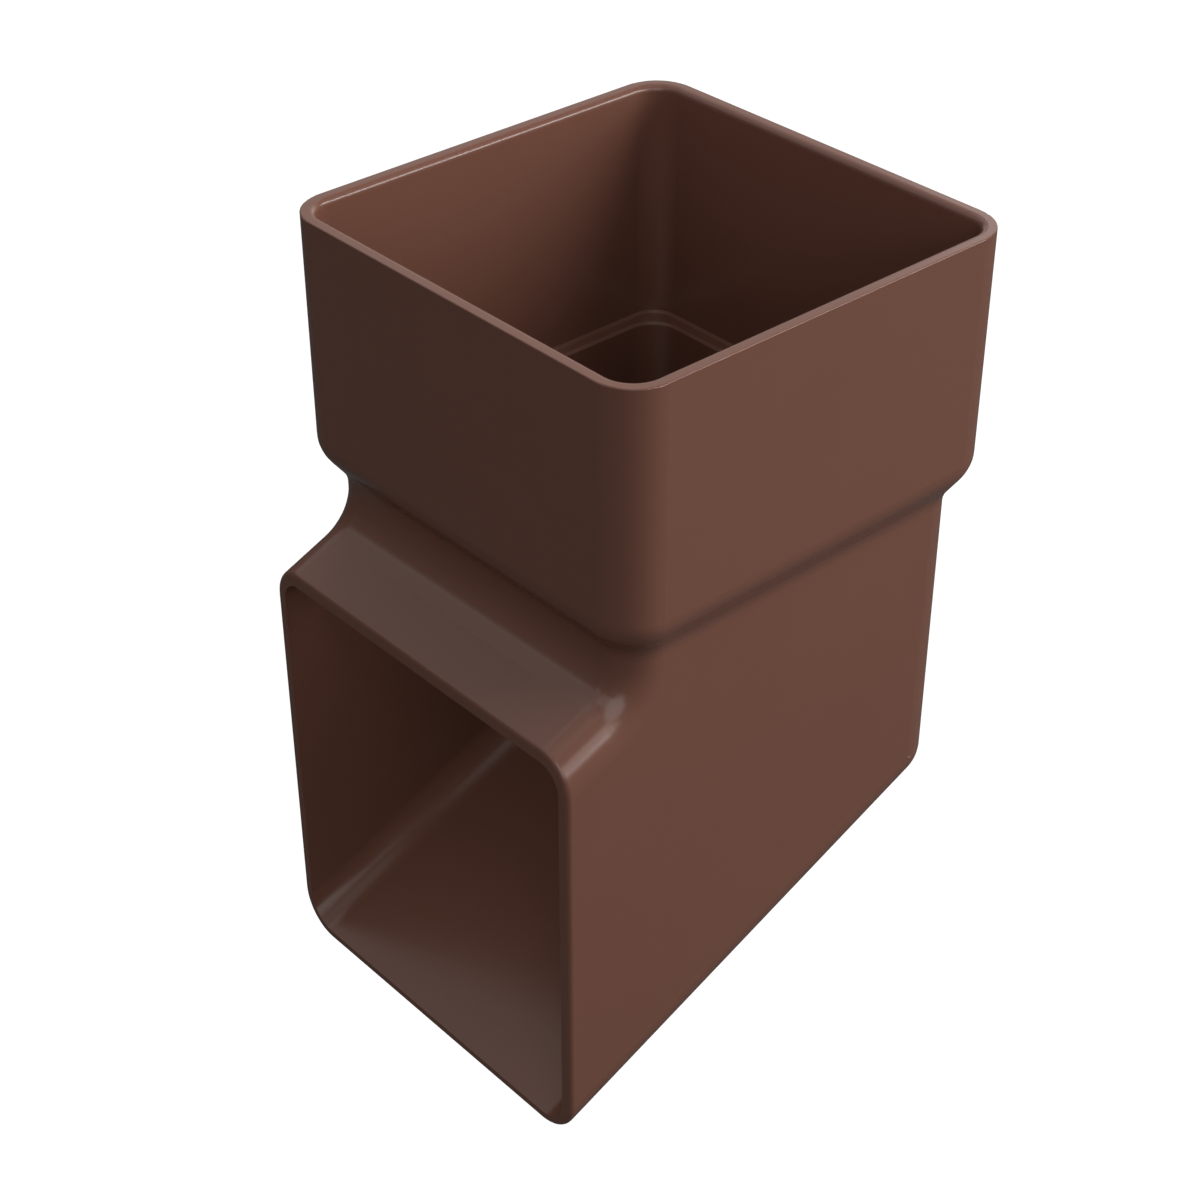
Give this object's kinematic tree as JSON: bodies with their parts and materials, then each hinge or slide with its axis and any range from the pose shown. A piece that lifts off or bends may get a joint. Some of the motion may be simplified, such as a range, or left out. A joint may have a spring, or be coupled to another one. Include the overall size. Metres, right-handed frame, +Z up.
{
  "type": "downspout shoe",
  "caption": "Square downpipe shoe moulded in brown uPVC: a socket over a rounded shoulder, bending into a sloping outlet that throws rainwater clear of the wall.",
  "frame": {"origin": "centre of the pipe stop, the ledge at the bottom of the socket, on the pipe's axis", "axes": "+Z up along the downpipe's axis, out of the socket; the outlet faces -Y, away from the wall; +X to the right of someone who looks along +Y into the mouth"},
  "size_m": [0.07, 0.0779, 0.1223],
  "materials": {
    "brown_upvc": "semi-matte moulded uPVC, brown through the wall"
  },
  "bodies": {
    "root": {"shoe_body": "brown_upvc"}
  },
  "joints": []
}
